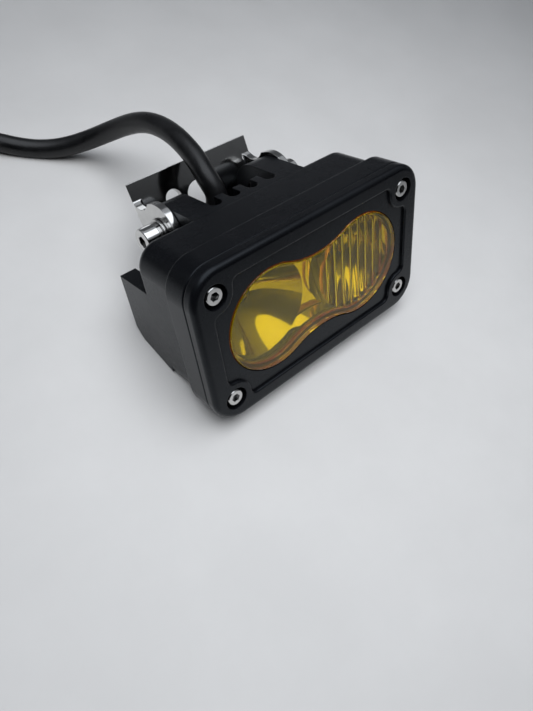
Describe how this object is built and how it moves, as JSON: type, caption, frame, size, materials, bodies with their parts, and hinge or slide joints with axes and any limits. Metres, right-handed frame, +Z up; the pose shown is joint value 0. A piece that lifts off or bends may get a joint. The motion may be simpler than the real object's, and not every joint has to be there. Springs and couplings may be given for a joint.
{
  "type": "fog light",
  "caption": "Rectangular black vehicle fog light with a two-lobed amber lens, finned rear, tilting steel U-bracket and a cable at the rear.",
  "frame": {"origin": "centre of the bracket's main bolt hole, on the plate face that meets the vehicle", "axes": "+Z up, -Y the way the lens looks, +X to the right of someone facing the lens"},
  "size_m": [0.0762, 0.1167, 0.0545],
  "materials": {
    "black_metal": "satin",
    "stainless": "polished",
    "amber_lens": "clear",
    "bright_reflector": "mirror",
    "silicone": "matte",
    "board": "satin",
    "heat_pad": "matte",
    "emitter": "satin",
    "ferrite": "matte",
    "capacitor": "satin",
    "black_nylon": "matte",
    "cable_jacket": "matte",
    "wire_red": "satin",
    "wire_black": "satin"
  },
  "bodies": {
    "bracket": {"bracket": "stainless"},
    "lamp": {"bezel": "black_metal", "housing": "black_metal", "bezel_screws": "stainless", "board_screws": "stainless", "lens": "amber_lens", "lens_seal": "silicone", "reflector": "bright_reflector", "circuit_board": "board", "thermal_pad": "heat_pad", "led_spot": "emitter", "led_wide": "emitter", "driver_inductor": "ferrite", "driver_capacitors": "capacitor", "cable_gland": "black_nylon", "gland_oring": "silicone", "gland_nut": "black_nylon", "cable_jacket": "cable_jacket", "wire_positive": "wire_red", "wire_negative": "wire_black", "vent_plug": "black_nylon", "pivot_bolt_left": "stainless", "pivot_bolt_right": "stainless", "lock_washer_left": "stainless", "lock_washer_right": "stainless", "flat_washer_left": "stainless", "flat_washer_right": "stainless"}
  },
  "joints": [
    {"name": "tilt", "type": "hinge", "parent": "bracket", "child": "lamp", "pos_m": [0, -0.01243, 0.00076], "axis": [1, 0, 0], "range_deg": [-45, 45], "deforming": ["cable_jacket", "wire_positive", "wire_negative"]}
  ]
}
